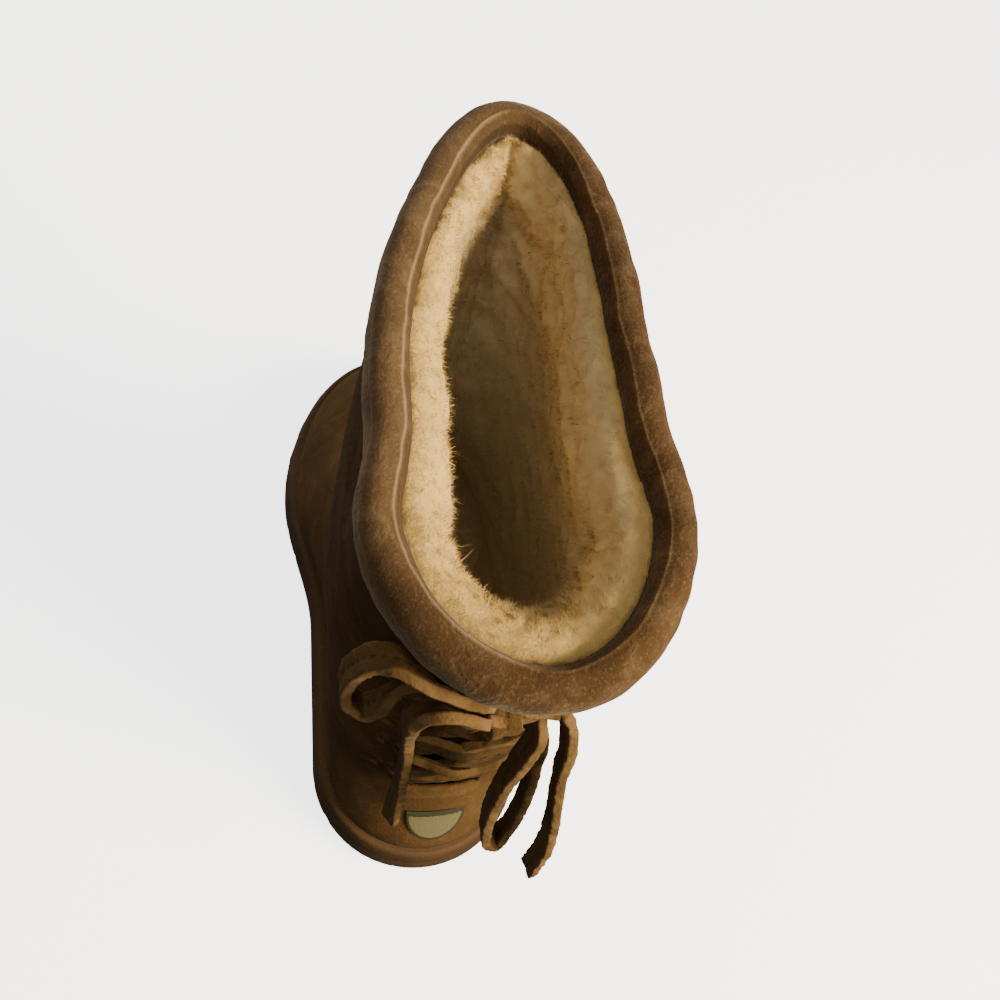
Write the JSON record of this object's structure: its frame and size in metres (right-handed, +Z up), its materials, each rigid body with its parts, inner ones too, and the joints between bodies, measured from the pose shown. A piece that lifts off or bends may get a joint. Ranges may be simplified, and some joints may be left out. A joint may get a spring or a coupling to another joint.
{
  "type": "wool-lined suede boot laced up the back",
  "caption": "Short suede boot for the right foot with a deep wool lining, a bound collar, a flat lace tied in a bow up the back of its shaft and a moulded rubber sole",
  "frame": {"origin": "on the floor under the middle of the boot's box, its free lace left out", "axes": "+X to the outer side of the foot, +Y to the toe, +Z up"},
  "size_m": [0.1046, 0.2571, 0.2402],
  "materials": {
    "suede": "napped suede, chestnut",
    "binding_suede": "napped suede, worn along its fold",
    "gusset_suede": "dark napped suede",
    "lace_suede": "flat cut suede strip with fuzzy edges",
    "wool": "deep cream wool pile",
    "sole_rubber": "matte moulded rubber"
  },
  "bodies": {
    "root": {"outsole": "sole_rubber", "insole": "wool", "upper": "suede", "back_gusset": "gusset_suede", "collar_binding": "binding_suede", "lace_crossings": "lace_suede", "lace_knot": "lace_suede", "lace_loop_left": "lace_suede", "lace_loop_right": "lace_suede", "lace_end_left": "lace_suede", "lace_end_right": "lace_suede"}
  },
  "joints": []
}
